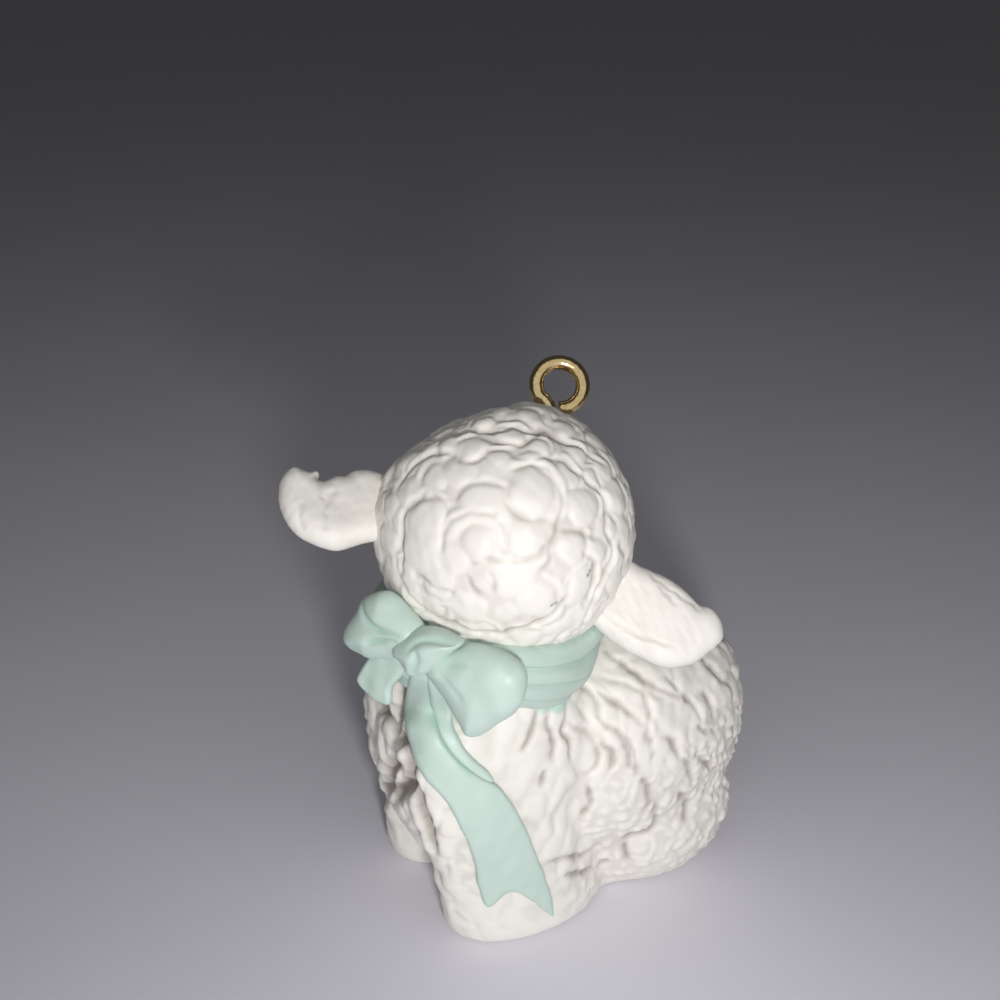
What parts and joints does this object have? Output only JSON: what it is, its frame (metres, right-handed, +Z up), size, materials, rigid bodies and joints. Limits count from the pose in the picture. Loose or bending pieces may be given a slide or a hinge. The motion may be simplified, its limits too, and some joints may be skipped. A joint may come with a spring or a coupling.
{
  "type": "lamb ornament",
  "caption": "Small hollow porcelain lamb, lying down and looking back, with a clay ribbon bow at its neck and a brass screw eye in its crown for hanging.",
  "frame": {"origin": "on the flat base, directly under the middle of the head", "axes": "+Z up, +X the way the chest faces, +Y the lamb's left side"},
  "size_m": [0.0551, 0.0321, 0.0606],
  "materials": {
    "bisque": "matte unglazed bisque porcelain with fine wool texture",
    "ribbon": "pale mint underglaze colour, satin",
    "plug": "matte filler",
    "brass": "bright drawn wire"
  },
  "bodies": {
    "root": {"body_casting": "bisque", "head_casting": "bisque", "left_ear": "bisque", "right_ear": "bisque", "left_foreleg": "bisque", "right_foreleg": "bisque", "left_haunch": "bisque", "right_haunch": "bisque", "tail": "bisque", "ribbon_collar": "ribbon", "bow_knot": "ribbon", "bow_loop_rear": "ribbon", "bow_loop_front": "ribbon", "ribbon_tail_long": "ribbon", "ribbon_tail_fold": "ribbon", "ribbon_tail_short": "ribbon", "anchor_plug": "plug", "screw_eye": "brass"}
  },
  "joints": []
}
